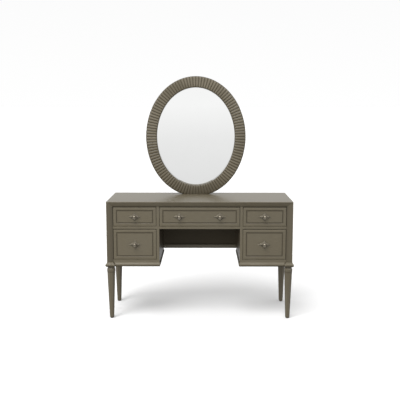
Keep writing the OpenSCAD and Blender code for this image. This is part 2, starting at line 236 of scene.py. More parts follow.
def pull_metal():
    """Aged champagne pewter, darker where shade is painted on and paler where a highlight and a reflection
    are painted on.
    """
    made, tree, shader = material("aged_pewter", Metallic=0.8)
    place = place_on_piece(tree)
    tarnish = noise(tree, place, 90.0, 4.0, 0.6)
    casting = noise(tree, place, 700.0, 2.0, 0.5)
    tarnished = spread(tree, tarnish, 0.35, 0.7, 0.0, 1.0)
    toned = mix_colour(tree, tarnished, rgb(0.24, 0.213, 0.165), rgb(0.16, 0.14, 0.105))
    # Painted shade: darker metal at the plate's rim and sunk line, in the knob's hollows and across its
    # middle.
    painted_shade_tone = mix_colour(tree, attribute(tree, "glaze"), toned, rgb(0.07, 0.058, 0.04))
    # Paler metal above the knob's middle as a painted highlight, and below it as a painted reflection.
    wear_and_highlight_amount = multiply(tree, attribute(tree, "wear_and_highlight"), 0.7)
    colour = mix_colour(tree, wear_and_highlight_amount, painted_shade_tone, rgb(0.78, 0.72, 0.60))
    tree.links.new(colour, shader.inputs["Base Color"])
    tree.links.new(spread(tree, tarnish, 0.3, 0.7, 0.28, 0.44), shader.inputs["Roughness"])
    tree.links.new(bump(tree, casting, 0.08, 0.0003), shader.inputs["Normal"])
    return made


def silvered_glass():
    """Silvered glass with a faint haze that makes its shine uneven."""
    made, tree, shader = material("silvered_glass", Metallic=1.0)
    haze = noise(tree, place_on_piece(tree), 7.0, 4.0, 0.6)
    tint = mix_colour(tree, haze, rgb(0.90, 0.905, 0.90), rgb(0.93, 0.935, 0.93))
    tree.links.new(tint, shader.inputs["Base Color"])
    tree.links.new(spread(tree, haze, 0.3, 0.7, 0.012, 0.03), shader.inputs["Roughness"])
    return made


def painted_board():
    """Dark painted fibreboard with a dry, speckled face."""
    made, tree, shader = material("painted_board")
    place = place_on_piece(tree)
    fibre = noise(tree, place, 260.0, 4.0, 0.7)
    cloud = noise(tree, place, 9.0, 3.0, 0.5)
    specks = spread(tree, fibre, 0.4, 0.7, 0.0, 1.0)
    speckled = mix_colour(tree, specks, rgb(0.028, 0.026, 0.023), rgb(0.062, 0.057, 0.05))
    patches = spread(tree, cloud, 0.4, 0.7, 0.0, 0.5)
    colour = mix_colour(tree, patches, speckled, rgb(0.045, 0.041, 0.036))
    tree.links.new(colour, shader.inputs["Base Color"])
    tree.links.new(spread(tree, cloud, 0.3, 0.7, 0.72, 0.88), shader.inputs["Roughness"])
    tree.links.new(bump(tree, fibre, 0.25, 0.0004), shader.inputs["Normal"])
    return made


def powder_coat():
    """Black powder coat on steel, with its fine pebbled skin."""
    made, tree, shader = material("powder_coat")
    place = place_on_piece(tree)
    pebble = noise(tree, place, 900.0, 2.0, 0.5)
    cloud = noise(tree, place, 30.0, 3.0, 0.5)
    colour = mix_colour(tree, cloud, rgb(0.018, 0.018, 0.019), rgb(0.032, 0.032, 0.034))
    wear_and_highlight_amount = multiply(tree, attribute(tree, "wear_and_highlight"), 0.35)
    worn = mix_colour(tree, wear_and_highlight_amount, colour, rgb(0.12, 0.12, 0.12))
    tree.links.new(worn, shader.inputs["Base Color"])
    tree.links.new(spread(tree, cloud, 0.3, 0.7, 0.42, 0.58), shader.inputs["Roughness"])
    tree.links.new(bump(tree, pebble, 0.2, 0.0003), shader.inputs["Normal"])
    return made


def zinc():
    """Zinc-plated screw steel with a turned, slightly yellowed skin."""
    made, tree, shader = material("zinc_plate", Metallic=1.0)
    place = place_on_piece(tree)
    cloud = noise(tree, place, 240.0, 3.0, 0.6)
    colour = mix_colour(tree, cloud, rgb(0.50, 0.49, 0.45), rgb(0.66, 0.65, 0.62))
    tree.links.new(colour, shader.inputs["Base Color"])
    tree.links.new(spread(tree, cloud, 0.3, 0.7, 0.28, 0.5), shader.inputs["Roughness"])
    return made


def glide_plastic():
    """Dark, scuffed plastic."""
    made, tree, shader = material("scuffed_plastic")
    place = place_on_piece(tree)
    scuffs = noise(tree, place, 300.0, 4.0, 0.7)
    scuffed = spread(tree, scuffs, 0.5, 0.8, 0.0, 1.0)
    colour = mix_colour(tree, scuffed, rgb(0.022, 0.021, 0.02), rgb(0.09, 0.087, 0.08))
    tree.links.new(colour, shader.inputs["Base Color"])
    tree.links.new(spread(tree, scuffs, 0.3, 0.7, 0.5, 0.75), shader.inputs["Roughness"])
    tree.links.new(bump(tree, scuffs, 0.1, 0.0002), shader.inputs["Normal"])
    return made


LACQUER = {axis: lacquer(axis) for axis in "xz"}
PALE_WOOD = {axis: drawer_wood(axis) for axis in "xy"}
PEWTER = pull_metal()
SILVERED = silvered_glass()
BOARD = painted_board()
POWDER = powder_coat()
ZINC = zinc()
PLASTIC = glide_plastic()


# ---- Mesh helpers ----

def add_object(name, data):
    """A new object in the scene."""
    made = bpy.data.objects.new(name, data)
    bpy.context.scene.collection.objects.link(made)
    return made


def piece(name, bm, finish, body, stands_for=(), sharp_angle=40):
    """Makes an object of a closed bmesh, says which body moves it and hides the CAD nodes it stands for.

    Its faces are turned outwards. Its shading breaks at edges over sharp_angle, in degrees, and at
    those that were marked before.
    """
    bmesh.ops.recalc_face_normals(bm, faces=bm.faces)
    if bm.calc_volume(signed=True) < 0:
        bmesh.ops.reverse_faces(bm, faces=bm.faces)
    for face in bm.faces:
        face.smooth = True
    for edge in bm.edges:
        if edge.calc_face_angle(0) > math.radians(sharp_angle):
            edge.smooth = False
    mesh = bpy.data.meshes.new(name)
    bm.to_mesh(mesh)
    bm.free()
    mesh.materials.append(finish)
    made = add_object(name, mesh)
    weighted = made.modifiers.new("flat_faces_stay_flat", "WEIGHTED_NORMAL")
    weighted.keep_sharp = True
    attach(made, body)
    if stands_for:
        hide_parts(*stands_for)


def body_of(node):
    return frame["nodes"][node]["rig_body"]


def copy_of(node):
    """A node's mesh with its flat faces whole again."""
    bm = bmesh.new()
    bm.from_mesh(frame["nodes"][node].data)
    bmesh.ops.remove_doubles(bm, verts=bm.verts, dist=0.01 * MM)
    bmesh.ops.dissolve_limit(bm, angle_limit=math.radians(0.5), verts=bm.verts, edges=bm.edges)
    return bm


def split(bm, point, normal, drop_front=False):
    """Cuts every face that a plane crosses, and returns the new points and edges."""
    geometry = [*bm.verts, *bm.edges, *bm.faces]
    cut = bmesh.ops.bisect_plane(
        bm, geom=geometry, dist=0.001 * MM, plane_co=point, plane_no=normal, clear_outer=drop_front
    )
    return cut["geom_cut"]


def keep_behind(bm, point, normal):
    """Cuts a closed mesh with a plane, keeps what lies behind the normal and closes the cut."""
    cut = split(bm, point, normal, drop_front=True)
    rim = [part for part in cut if isinstance(part, bmesh.types.BMEdge)]
    bmesh.ops.contextual_create(bm, geom=rim)


def paint(faces, layer, amount):
    """The same amount of glaze or wear all over some faces."""
    for face in faces:
        for loop in face.loops:
            loop[layer] = amount


def ease(bm, width, wanted=None, steps=2):
    """Rounds the sharp edges, or those wanted, and marks the narrow new faces as worn."""
    wear_and_highlight = bm.loops.layers.float.get("wear_and_highlight") or bm.loops.layers.float.new("wear_and_highlight")
    edges = []
    for edge in bm.edges:
        sharp = len(edge.link_faces) == 2 and edge.calc_face_angle() > math.radians(20)
        if sharp and (wanted is None or wanted(edge)):
            edges.append(edge)
    made = bmesh.ops.bevel(
        bm, geom=edges, offset=width, segments=steps, profile=0.5, affect="EDGES", clamp_overlap=True
    )
    paint(made["faces"], wear_and_highlight, 1.0)


def paint_shade_on_faces(bm, amount_on):
    """Painted shade on each face, by a function that says how much."""
    bm.normal_update()
    glaze = bm.loops.layers.float.new("glaze")
    for face in bm.faces:
        paint([face], glaze, amount_on(face))


def under_and_on_nose(face):
    """Painted shade under a moulding and on its nose, and all over what lines the kneehole."""
    if abs(face.calc_center_median().x) < KNEEHOLE_X:
        return 1.0
    if face.normal.z < -0.3:
        return 0.9
    return 0.3 if face.normal.z < 0.1 else 0.0


def on_front(face):
    """Painted shade on the side that faces the front."""
    return 1.0 if face.normal.y < -0.9 else 0.0


def on_kneehole_side(face):
    """Painted shade on the side that faces the kneehole."""
    faces_in = face.normal.x * face.calc_center_median().x < 0
    return 0.8 if faces_in and abs(face.normal.x) > 0.9 else 0.0


def edge_middle(edge):
    return (edge.verts[0].co + edge.verts[1].co) / 2


def edge_runs(edge, axis):
    """True if an edge runs along an axis, 0 to 2."""
    along = (edge.verts[1].co - edge.verts[0].co).normalized()
    return abs(along[axis]) > 0.99


def near(a, b):
    """True if two places agree to a tenth of a millimetre."""
    return abs(a - b) < 0.1 * MM


def bridge(bm, rings, closed=True):
    """Joins each ring of vertices to the next with faces, and returns the faces of each band."""
    bands = []
    for ring, following in zip(rings, rings[1:]):
        count = len(ring) if closed else len(ring) - 1
        band = []
        for i in range(count):
            j = (i + 1) % len(ring)
            band.append(bm.faces.new((ring[i], ring[j], following[j], following[i])))
        bands.append(band)
    return bands


def close_ends(bm, rings):
    bm.faces.new(rings[0])
    bm.faces.new(rings[-1])


def box_mesh(lowest, highest):
    """A closed box between two corners."""
    bm = bmesh.new()
    rings = []
    (x0, y0, z0), (x1, y1, z1) = lowest, highest
    for z in (z0, z1):
        corners = ((x0, y0), (x1, y0), (x1, y1), (x0, y1))
        rings.append([bm.verts.new((x, y, z)) for x, y in corners])
    bridge(bm, rings)
    close_ends(bm, rings)
    return bm


# A pan head and its hexagonal socket, as [radius, height above the face it sits on].
SCREW_HEAD = [(4.3 * MM, 0.0), (4.4 * MM, 0.2 * MM), (4.4 * MM, 1.2 * MM), (3.9 * MM, 1.9 * MM)]
SCREW_HEAD += [(3.0 * MM, 2.3 * MM)]
SCREW_SOCKET = [(1.8 * MM, 2.4 * MM), (1.7 * MM, 0.9 * MM)]
SCREW_R = 2 * MM
SCREW_TIP_R = 1.4 * MM
SCREW_STEPS = 24


def screw(bm, at, out, shank):
    """A pan-headed screw with a hexagonal socket. Its head starts at a point and stands out."""
    across = out.orthogonal().normalized()
    third = out.cross(across)
    turned = [(SCREW_TIP_R, -shank), (SCREW_R, SCREW_R - shank), (SCREW_R, 0.0), *SCREW_HEAD]
    rings = []
    for i, (radius, along) in enumerate(turned + SCREW_SOCKET):
        ring = []
        for step in range(SCREW_STEPS):
            angle = 2 * math.pi * step / SCREW_STEPS
            from_flat = (angle + math.pi / 6) % (math.pi / 3) - math.pi / 6
            reach = radius / math.cos(from_flat) if i >= len(turned) else radius
            side = across * math.cos(angle) + third * math.sin(angle)
            ring.append(bm.verts.new(at + side * reach + out * along))
        rings.append(ring)
    bridge(bm, rings)
    bm.faces.new(rings[0])
    bmesh.ops.poke(bm, faces=[bm.faces.new(rings[-1])])


# ---- Case ----

NECK_H = 16 * MM
FOOT_H = 8 * MM
COLLAR_H = 20 * MM
COLLAR_Z = LEG_Z - NECK_H - COLLAR_H
COLLAR_FADE_H = 12 * MM
FOOT_FADE_H = 30 * MM
MITRE_FADE_H = 5 * MM
LIP = 0.15  # the flat lip's part of the surround's width
QUIRK = 0.8 * MM
BEVEL_STEPS = 8


def surround():
    """The frame round the drawers: both posts' fronts and the rail, mitred at the upper corners.

    Its section goes from the outer side, round the arris, over the lip and down a swelling bevel.
    Each section point is [part of the width, distance behind the front]. Each ring goes up the left
    post, across the rail and down the right one. Painted shade darkens each post's bevel towards the
    drawers, and the quirk and inner edge all round, where the gaps' shadows fall. On the posts it
    fades out just below the mitre.
    """
    recess = FACE_Y - FRONT_Y
    depth = RAIL_BACK_Y - FRONT_Y
    section = [(0.0, depth), (0.0, 1.2 * MM), (0.008, 0.35 * MM), (0.028, 0.0), (LIP, 0.0)]
    quirk_ring = len(section)
    for i in range(BEVEL_STEPS):
        t = i / (BEVEL_STEPS - 1)
        sink = QUIRK + (recess - QUIRK) * (0.62 * t + 0.38 * t * t)
        section.append((LIP + (1 - LIP) * t * 0.985 + 0.004, sink))
    section += [(1.0, recess + QUIRK), (1.0, depth)]
    bm = bmesh.new()
    wear_and_highlight = bm.loops.layers.float.new("wear_and_highlight")
    glaze = bm.verts.layers.float.new("glaze")
    rings = []
    for i, (part, back) in enumerate(section):
        x = SIDE_X - part * POST_W
        z = TOP_Z - part * (TOP_Z - SOFFIT_Z)
        y = FRONT_Y + back
        heights = (LEG_Z, z - MITRE_FADE_H, z)
        ring = [bm.verts.new((-x, y, height)) for height in heights]
        ring += [bm.verts.new((x, y, height)) for height in reversed(heights)]
        rings.append(ring)
        # Painted shade down each post's bevel, darker towards the drawers.
        if part > LIP:
            for on_post in (*ring[:2], *ring[-2:]):
                on_post[glaze] = 0.25 + 0.35 * (part - LIP) / (1 - LIP)
        # Painted shadow in the quirk and along the inner edge, where the gaps are.
        if part > 0.95 or i == quirk_ring:
            for vert in ring:
                vert[glaze] = 0.8
    bands = bridge(bm, rings + [rings[0]], closed=False)
    paint(bands[1] + bands[2], wear_and_highlight, 1.0)
    for end in (0, -1):
        bm.faces.new([ring[end] for ring in rings])
    for ring, following in zip(rings, rings[1:]):
        for mitre in (2, 3):
            bm.edges.get((ring[mitre], following[mitre])).smooth = False
    piece("surround", bm, LACQUER["x"], "case", ["top_rail"])


def paint_leg_shade(bm, all_over):
    """Painted shade all over a leg, and more of it in its neck, under its collar and round its foot.

    The long taper is split near both ends, so that the painted shade fades out there.
    """
    for fade_end in (COLLAR_Z - COLLAR_FADE_H, FOOT_H + FOOT_FADE_H):
        split(bm, (0, 0, fade_end), (0, 0, 1))
    glaze = bm.verts.layers.float.new("glaze")
    for vert in bm.verts:
        in_neck = LEG_Z - NECK_H - 1 * MM < vert.co.z < LEG_Z + 1 * MM
        under_collar = COLLAR_Z - 4 * MM < vert.co.z < COLLAR_Z - 2 * MM
        at_foot = vert.co.z < FOOT_H
        vert[glaze] = 0.85 if in_neck or under_collar or at_foot else all_over


def leg(node, all_over, post_from, post_to):
    """The eight-sided leg with rounded edges, and the post above it, between two corners.

    The cut is a hair under the post, where the leg's section is a plain octagon. Its rim stays sharp.
    """
    hair = 0.05 * MM
    shaft = copy_of(node)
    keep_behind(shaft, (0, 0, LEG_Z - hair), (0, 0, 1))
    ease(shaft, 0.8 * MM, lambda edge: edge_middle(edge).z < LEG_Z - 2 * hair)
    paint_leg_shade(shaft, all_over)
    piece(node + "_shaft", shaft, LACQUER["z"], body_of(node), [node])
    post = box_mesh(post_from, post_to)
    piece(node + "_post", post, LACQUER["z"], body_of(node), [node])


def front_leg(side):
    """A leg whose post is the rear half of the case's corner. The surround is the front half."""
    sign = -1 if side == "left" else 1
    xs = sorted((sign * POST_X, sign * SIDE_X))
    post_from = Vector((xs[0], RAIL_BACK_Y, LEG_Z))
    leg("front_leg_" + side, 0.18, post_from, Vector((xs[1], POST_BACK_Y, UNDER_TOP_Z)))


def rear_leg(side):
    """A leg with a short post inside the case, as wide and deep as the node's top."""
    node = "rear_leg_" + side
    top = high(node).z
    corners = [vert.co for vert in frame["nodes"][node].data.vertices if near(vert.co.z, top)]
    xs = [corner.x for corner in corners]
    ys = [corner.y for corner in corners]
    # The rear legs, back in the case's shade, get more painted shade all over than the front ones.
    leg(node, 0.35, Vector((min(xs), min(ys), LEG_Z)), Vector((max(xs), max(ys), top)))


def eased_copy(node, finish, slot, width=0.6 * MM, wanted=None, steps=2, glaze_on=None):
    """A node's own shape with rounded edges, and painted shade on its faces if a function says how much."""
    bm = copy_of(node)
    ease(bm, width, wanted, steps)
    if glaze_on:
        paint_shade_on_faces(bm, glaze_on)
    piece(node + "_eased", bm, finish, body_of(node), [node])


def lacquered(node, along, **how):
    """An eased copy in lacquer, whose grain runs along an axis."""
    eased_copy(node, LACQUER[along], "lacquered_wood", **how)


def shows_on_top(edge):
    """Every edge of the top but those against the rail."""
    return not near(edge_middle(edge).y, RAIL_BACK_Y) and not edge_runs(edge, 2)


def back_screws():
    """Screws through the back panel into the edges of the panels and shelves in front of it."""
    bm = bmesh.new()
    inner_x = middle("inner_panel_right").x
    shelf_z = middle("divider_right").z
    bottom_z = middle("bottom_panel_right").z
    along_shelf = [inner_x + part * (SIDE_X - inner_x) for part in (0.3, 0.6, 0.88)]
    up_panel = [bottom_z + part * (UNDER_TOP_Z - bottom_z) for part in (0.04, 0.32, 0.68, 0.96)]
    places = [(x, z) for x in along_shelf for z in (shelf_z, bottom_z)]
    places += [(inner_x, z) for z in up_panel]
    places.append((inner_x / 2, shelf_z))
    shank = 7 * MM
    for x, z in places:
        for sign in (-1, 1):
            screw(bm, Vector((sign * x, BACK_Y, z)), Vector((0, 1, 0)), shank)
    piece("back_panel_screws", bm, ZINC, "case")


def case():
    """Everything that stays put, but the mirror."""
    surround()
    back_screws()
    for side in SIDES:
        front_leg(side)
        rear_leg(side)
        lacquered("side_panel_" + side, "z", width=0.5 * MM)
        # Painted shade on the inner panels' kneehole sides, and under the mouldings and on their noses.
        lacquered("inner_panel_" + side, "z", glaze_on=on_kneehole_side)
        lacquered("divider_" + side, "x", width=0.8 * MM)
        lacquered("bottom_panel_" + side, "x", width=0.8 * MM)
        lacquered("post_cap_" + side, "x", width=0.5 * MM, glaze_on=under_and_on_nose)
        lacquered("base_moulding_" + side, "x", glaze_on=under_and_on_nose)
    lacquered("top_panel", "x", width=1.0 * MM, wanted=shows_on_top)
    lacquered("divider_center", "x", width=0.8 * MM)
    # Painted shade on the back panel's front, deep in the kneehole.
    lacquered("back_panel", "x", glaze_on=on_front)
    lacquered("kneehole_rail", "x", width=1.5 * MM, steps=3)
    eased_copy("drawer_guides", PALE_WOOD["y"], "drawer_wood", 1.0 * MM)
    eased_copy("leg_glides", PLASTIC, "glide_plastic", 0.8 * MM)


# ---- Drawers ----

FRONT_T = high("center_front").y - FACE_Y
BORDER = 20 * MM
GROOVE_W = 6 * MM
GROOVE_D = 3 * MM
# A front from its back to the flat panel, as [distance inside the edge, depth behind the face].
FRONT_SECTION = [
    (1.0 * MM, FRONT_T),
    (0.0, FRONT_T - 1.0 * MM),
    (0.0, 2.2 * MM),
    (0.5 * MM, 1.2 * MM),
    (1.8 * MM, 0.75 * MM),
    (6 * MM, 0.25 * MM),
    (11 * MM, 0.0),
    (15 * MM, 0.1 * MM),
    (17.5 * MM, 0.25 * MM),
    (BORDER - 0.6 * MM, 0.6 * MM),
    (BORDER + 0.4 * MM, 1.6 * MM),
    (BORDER + 0.2 * GROOVE_W, GROOVE_D),
    (BORDER + 0.8 * GROOVE_W, GROOVE_D),
    (BORDER + 0.95 * GROOVE_W, 1.6 * MM),
    (BORDER + GROOVE_W, 0.9 * MM),
    (BORDER + GROOVE_W + 0.8 * MM, 0.6 * MM),
]
ARRIS_BAND = 3  # the band of faces from the front's side to its border
GAP_D = 3 * MM  # how far back the sides of a front get painted shade, where they show in the gaps


def drawer_front(drawer):
    """A front with a softly crowned border, a groove inside it and a flat panel, with painted shade in the
    groove and on its sides in the gaps.
    """
    node = drawer + "_front"
    lowest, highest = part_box(node)
    bm = bmesh.new()
    glaze = bm.verts.layers.float.new("glaze")
    wear_and_highlight = bm.loops.layers.float.new("wear_and_highlight")
    rings = []
    for inset, depth in FRONT_SECTION:
        x = (lowest.x + inset, highest.x - inset)
        z = (lowest.z + inset, highest.z - inset)
        y = lowest.y + depth
        corners = ((x[0], y, z[0]), (x[1], y, z[0]), (x[1], y, z[1]), (x[0], y, z[1]))
        ring = [bm.verts.new(at) for at in corners]
        # Painted shade in the groove and on the sides of the front, where they show in the gaps.
        in_groove = BORDER - 1 * MM < inset < BORDER + 1.1 * GROOVE_W
        in_gap = inset == 0 and depth < GAP_D
        for vert in ring:
            vert[glaze] = 0.8 if in_groove or in_gap else 0.0
        rings.append(ring)
    bands = bridge(bm, rings)
    paint(bands[ARRIS_BAND], wear_and_highlight, 0.3)
    close_ends(bm, rings)
    for ring, following in zip(rings, rings[1:]):
        for a, b in zip(ring, following):
            bm.edges.get((a, b)).smooth = False
    piece(node + "_moulded", bm, LACQUER["x"], body_of(node), [node])


def drawer_box(drawer):
    """Sides, back and bottom in pale wood."""
    for part, along in (("side_left", "y"), ("side_right", "y"), ("back", "x"), ("bottom", "x")):
        eased_copy(f"{drawer}_{part}", PALE_WOOD[along], "drawer_wood", 0.8 * MM)


# ---- Pulls ----

PLATE_HALF = (40 * MM, 29 * MM)
PLATE_HOLLOW = 3 * MM
PLATE_T = 4 * MM
# The plate from its back to its raised middle, as [scale of the outline, height, painted shade].
PLATE_SECTION = [
    (1.0, 0.0, 0.8),
    (1.0, 1.2 * MM, 0.5),
    (0.985, 1.6 * MM, 0.0),
    (0.90, 2.3 * MM, 0.0),
    (0.875, 2.3 * MM, 0.3),
    (0.845, 1.9 * MM, 0.8),
    (0.815, 2.0 * MM, 0.5),
    (0.76, 2.3 * MM, 0.0),
    (0.50, 4.0 * MM, 0.0),
    (0.34, PLATE_T + 0.9 * MM, 0.2),
]
SIDE_STEPS = 8
KNOB_R = 14 * MM
KNOB_START = PLATE_T - 1.2 * MM
# The knob's flared foot, neck and the underside of its head, as [radius, height above KNOB_START].
KNOB_SECTION = [
    (11 * MM, 0.0),
    (10.5 * MM, 1.2 * MM),
    (8 * MM, 2.4 * MM),
    (6.4 * MM, 4.5 * MM),
    (5.5 * MM, 7 * MM),
    (5.5 * MM, 9 * MM),
    (7 * MM, 11 * MM),
    (10.5 * MM, 12.8 * MM),
    (13.2 * MM, 14.2 * MM),
    (KNOB_R, 15.5 * MM),
]
DOME_H = 16.5 * MM  # where the knob's dome starts, above KNOB_START
DOME_STEPS = 9
KNOB_STEPS = 40


def lozenge():
    """The plate's outline: four points joined by sides that curve in, as [x, z]."""
    outline = []
    tips = [(PLATE_HALF[0], 0), (0, PLATE_HALF[1]), (-PLATE_HALF[0], 0), (0, -PLATE_HALF[1])]
    for i, start in enumerate(tips):
        end = tips[(i + 1) % 4]
        for step in range(SIDE_STEPS):
            t = step / SIDE_STEPS
            bow = PLATE_HOLLOW * math.sin(math.pi * t)
            x = start[0] + (end[0] - start[0]) * t
            z = start[1] + (end[1] - start[1]) * t
            x -= bow * math.copysign(1, start[0] + end[0])
            z -= bow * math.copysign(1, start[1] + end[1])
            outline.append((x, z))
    return outline


def plate(bm, x, z):
    """One lozenge plate with a sunk line round its raised middle."""
    glaze = bm.verts.layers.float["glaze"]
    outline = lozenge()
    rings = []
    for scale, rise, dark in PLATE_SECTION:
        ring = []
        for dx, dz in outline:
            vert = bm.verts.new((x + dx * scale, FACE_Y - rise, z + dz * scale))
            # Painted shade, by the section: darkest at the rim and in the sunk line.
            vert[glaze] = dark
            ring.append(vert)
        rings.append(ring)
    bridge(bm, rings)
    close_ends(bm, rings)


def knob(bm, x, z, reach):
    """A turned knob that reaches so far out of the drawer's face.

    Painted shade darkens its middle and the hollows round its foot and under its head. Its metal is
    painted paler above as a highlight and more so below as a reflection.
    """
    glaze = bm.verts.layers.float["glaze"]
    wear_and_highlight = bm.verts.layers.float["wear_and_highlight"]
    section = [(radius, KNOB_START + rise) for radius, rise in KNOB_SECTION]
    dome_start = KNOB_START + DOME_H
    for i in range(1, DOME_STEPS):
        turn = math.radians(90 * i / DOME_STEPS)
        section.append((KNOB_R * math.cos(turn), dome_start + (reach - dome_start) * math.sin(turn)))
    angles = [2 * math.pi * i / KNOB_STEPS for i in range(KNOB_STEPS)]
    rings = []
    for radius, out in section:
        around = [(x + radius * math.cos(angle), z + radius * math.sin(angle)) for angle in angles]
        rings.append([bm.verts.new((at_x, FACE_Y - out, at_z)) for at_x, at_z in around])
    bridge(bm, rings)
    close_ends(bm, rings)
    for ring in (*rings[2:4], *rings[5:7]):  # painted shade in the hollows round the foot and under the head
        for vert in ring:
            vert[glaze] = 0.4
    # The head: painted highlight above its middle and painted reflection below, as paler metal, and painted
    # shade across the middle.
    for ring in rings[len(KNOB_SECTION) - 1:]:
        for vert in ring:
            height = (vert.co.z - z) / KNOB_R
            vert[wear_and_highlight] = 0.25 * height ** 2 if height > 0 else -1.7 * height
            vert[glaze] = max(0.0, 0.6 - 1.4 * abs(height))


def pull(drawer):
    """A plate, a knob and a screw from inside the drawer at each of a drawer's one or two pulls."""
    node = drawer + "_pull"
    lowest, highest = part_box(node)
    z = (lowest.z + highest.z) / 2
    xs = [lowest.x + PLATE_HALF[0], highest.x - PLATE_HALF[0]]
    if xs[1] - xs[0] < PLATE_HALF[0]:
        xs = [(lowest.x + highest.x) / 2]
    cast = bmesh.new()
    cast.verts.layers.float.new("glaze")
    cast.verts.layers.float.new("wear_and_highlight")
    screws = bmesh.new()
    for x in xs:
        plate(cast, x, z)
        knob(cast, x, z, FACE_Y - lowest.y)
        screw(screws, Vector((x, FACE_Y + FRONT_T, z)), Vector((0, 1, 0)), FRONT_T + PLATE_T)
    piece(node + "_cast", cast, PEWTER, body_of(node), [node])
    piece(node + "_screws", screws, ZINC, body_of(node), [node])


# ---- Mirror ----

REEDS = 112
REED_SAMPLES = (0.0, 0.05, 0.14, 0.29, 0.5, 0.71, 0.86, 0.95)
REED_FULLNESS = 2.4  # 2 makes a reed's back a parabola, and more makes it fuller
FACE_W = 76 * MM
# The face between its lips, in mm: [inset, depth of the reeds' crests, depth of the grooves, painted
# shade].
FACE_SECTION = [
    (2.5, 5.2, 5.2, 0.9),
    (3.2, 3.4, 5.6, 0.6),
    (4.6, 1.8, 5.4, 0.2),
    (7.5, 0.9, 4.8, 0.0),
    (14, 0.4, 4.2, 0.0),
    (25, 0.1, 3.9, 0.0),
    (38, 0.0, 3.8, 0.0),
    (51, 0.1, 3.9, 0.0),
    (62, 0.4, 4.2, 0.0),
    (68.5, 0.9, 4.8, 0.0),
    (71.4, 1.8, 5.4, 0.2),
    (72.8, 3.4, 5.6, 0.6),
    (73.5, 5.2, 5.2, 0.9),
]
FOOT_SHADE_H = 140 * MM  # how far up from the top the frame is darkened
OVAL_SAMPLES = 2880
OVAL_STEPS = 224


def oval(turn, inset):
    """A point inside the oval by inset, measured square to its edge, as [x, z]."""
    x = OVAL_A * math.cos(turn)
    z = OVAL_B * math.sin(turn)
    out = Vector((OVAL_B * math.cos(turn), OVAL_A * math.sin(turn))).normalized()
    return x - inset * out.x + MIRROR_MIDDLE.x, z - inset * out.y + MIRROR_MIDDLE.z


def even_turns(count, inset):
    """Turns that are evenly spaced along the oval, starting at its lowest point."""
    start = -math.pi / 2
    turns = [start + 2 * math.pi * i / OVAL_SAMPLES for i in range(OVAL_SAMPLES + 1)]
    run = [0.0]
    for a, b in zip(turns, turns[1:]):
        run.append(run[-1] + math.dist(oval(a, inset), oval(b, inset)))
    found = []
    i = 0
    for k in range(count):
        goal = run[-1] * k / count
        while run[i + 1] <= goal:
            i += 1
        part = (goal - run[i]) / (run[i + 1] - run[i])
        found.append(turns[i] + part * (turns[i + 1] - turns[i]))
    return found


def reed_turns():
    """One turn for each sample of each reed, and how far up the reed's back it lies."""
    starts = even_turns(REEDS, FACE_W / 2)
    found = []
    for i, start in enumerate(starts):
        end = starts[(i + 1) % REEDS]
        if end < start:
            end += 2 * math.pi
        for part in REED_SAMPLES:
            rise = 1 - abs(2 * part - 1) ** REED_FULLNESS
            found.append((start + part * (end - start), rise))
    return found


def mirror_frame():
    """The oval frame: reeds across its face between two thin lips, and a rabbet behind for the glass.

    Painted shade lies in the grooves, thinner towards the crown of the oval where upright reeds cast
    none, on the lips and in the rabbet, and all over near its foot, which the top keeps from the light.
    The crests are painted paler, as worn and as lit, more so towards the crown.
    """
    thick = high("mirror_frame").y - low("mirror_frame").y
    set_back = low("mirror_glass").y - low("mirror_frame").y
    section = [(0.0, 6.4 * MM, 6.4 * MM, 0.3), (0.7 * MM, 5.4 * MM, 5.4 * MM, 0.3)]
    for inset, crest, groove, dark in FACE_SECTION:
        section.append((inset * MM, crest * MM, groove * MM, dark))
    section += [(FACE_W - 0.7 * MM, 5.2 * MM, 5.2 * MM, 0.3), (FACE_W, 6.0 * MM, 6.0 * MM, 0.2)]
    section += [(FACE_W, set_back, set_back, 0.3), (GLASS_INSET, set_back, set_back, 0.3)]
    section += [(GLASS_INSET, thick, thick, 0.0), (1.0 * MM, thick, thick, 0.0)]
    section += [(0.0, thick - 1.0 * MM, thick - 1.0 * MM, 0.0)]
    bm = bmesh.new()
    glaze = bm.verts.layers.float.new("glaze")
    wear_and_highlight = bm.verts.layers.float.new("wear_and_highlight")
    turns = reed_turns()
    rings = []
    for inset, crest, groove, dark in section:
        ring = []
        for turn, rise in turns:
            x, z = oval(turn, inset)
            near_foot = max(0.0, 1 - (z - TOP_Z) / FOOT_SHADE_H)
            near_crown = max(0.0, (z - MIRROR_MIDDLE.z) / OVAL_B) ** 2
            vert = bm.verts.new((x, MIRROR_FACE_Y + groove + (crest - groove) * rise, z))
            # Painted shade in the grooves, less near the crown and more near the foot; paler crests, as
            # wear and painted highlight.
            in_groove = (1 - rise) ** 1.15 if groove > crest else 0.0
            vert[glaze] = max(dark, in_groove * (1 - 0.85 * near_crown), 0.9 * near_foot)
            if groove > crest:
                vert[wear_and_highlight] = (0.55 + 0.25 * near_crown) * rise ** 5 * (1 - near_foot)
            ring.append(vert)
        rings.append(ring)
    bridge(bm, rings + [rings[0]])
    keep_behind(bm, (0, 0, TOP_Z), (0, 0, -1))
    bmesh.ops.triangulate(bm, faces=[face for face in bm.faces if len(face.verts) > 4])
    piece(
        "mirror_frame_reeded", bm, LACQUER["z"], "case", ["mirror_frame"], sharp_angle=48
    )


def oval_plate(name, section, finish, node):
    """A closed oval plate. Its section is a list of [inset, distance behind the frame's face]."""
    bm = bmesh.new()
    turns = even_turns(OVAL_STEPS, GLASS_INSET)
    rings = []
    for inset, back in section:
        points = [oval(turn, inset) for turn in turns]
        rings.append([bm.verts.new((x, MIRROR_FACE_Y + back, z)) for x, z in points])
    bridge(bm, rings)
    close_ends(bm, rings)
    piece(name, bm, finish, body_of(node), [node], sharp_angle=2)


